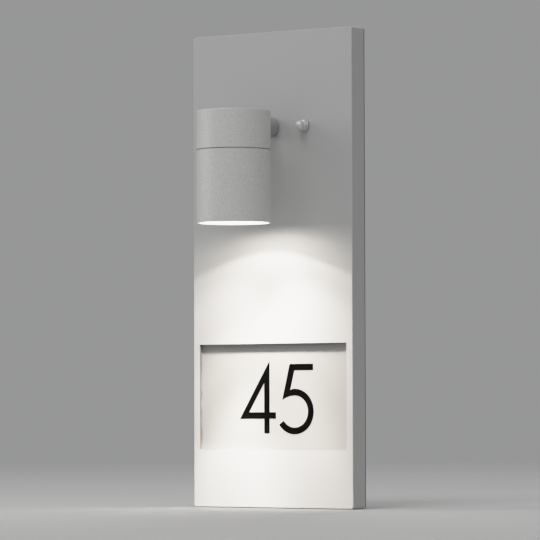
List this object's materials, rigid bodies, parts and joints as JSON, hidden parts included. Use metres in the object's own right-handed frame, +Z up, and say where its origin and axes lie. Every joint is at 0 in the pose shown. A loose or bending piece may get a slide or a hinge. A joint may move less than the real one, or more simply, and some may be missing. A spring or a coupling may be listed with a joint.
{
  "type": "illuminated house number sign",
  "caption": "Outdoor wall sign: a shallow grey metal tray with a number window near its foot and a cylindrical down-light on a short arm.",
  "frame": {"origin": "on the mounting face, midway between the two fixing slots, at the height of the arm's axis", "axes": "+Z up, along the tray's length; +Y into the mounting face; +X to the right as a reader of the sign sees it"},
  "size_m": [0.165, 0.1095, 0.41],
  "materials": {
    "powder": "fine satin powder coat",
    "lamp_powder": "coarser light powder coat",
    "zinc": "zinc plated",
    "galv": "galvanised sheet",
    "chrome": "bright nickel plate",
    "black_rubber": "matt",
    "silicone": "translucent silicone",
    "grey_rubber": "grey sheet rubber",
    "white_plate": "satin white acrylic",
    "terminal": "natural polyamide",
    "ceramic": "unglazed white",
    "brass": "plain",
    "tin": "tinned",
    "lead_brown": "silicone sheath",
    "lead_blue": "silicone sheath",
    "lead_green": "silicone sheath",
    "clear_glass": "satin etched glass",
    "reflector": "aluminised glass",
    "lens": "lit lens"
  },
  "bodies": {
    "bracket": {"wall_bracket": "galv", "bracket_studs": "zinc", "stud_locknuts": "zinc", "cable_grommet": "black_rubber", "earth_screw": "brass", "earth_washer": "tin"},
    "panel": {"front_panel": "powder", "rim_seal": "black_rubber", "window_gasket": "grey_rubber", "number_plate": "white_plate", "plate_clips": "zinc", "clip_studs": "zinc", "clip_nuts": "zinc", "cap_nut_seals": "black_rubber", "cap_washers": "chrome", "cap_nuts": "chrome", "arm": "lamp_powder", "arm_seal": "black_rubber", "arm_rod": "zinc", "rod_washers": "zinc", "rod_nuts": "zinc", "lamp_cap": "lamp_powder", "head_seal": "grey_rubber", "lamp_socket": "ceramic", "socket_bracket": "galv", "socket_screws": "zinc", "strap_screws": "zinc", "terminal_block": "terminal", "terminal_studs": "zinc", "terminal_nuts": "zinc", "terminal_screws": "brass", "earth_tag": "tin", "earth_tag_screw": "brass", "live_lead": "lead_brown", "neutral_lead": "lead_blue", "earth_lead": "lead_green"},
    "sleeve": {"lamp_sleeve": "lamp_powder", "front_glass": "clear_glass", "glass_seal": "silicone"},
    "bulb": {"bulb_body": "reflector", "bulb_lens": "lens", "bulb_pins": "brass"}
  },
  "joints": [
    {"name": "panel_lift_off", "type": "slide", "parent": "bracket", "child": "panel", "axis": [0, -1, 0], "range_m": [0, 0.04]},
    {"name": "sleeve_drop", "type": "slide", "parent": "panel", "child": "sleeve", "axis": [0, 0, -1], "range_m": [0, 0.07]},
    {"name": "bulb_twist", "type": "hinge", "parent": "panel", "child": "bulb", "pos_m": [0, -0.078, -0.0293], "axis": [0, 0, -1], "range_deg": [0, 40]}
  ]
}
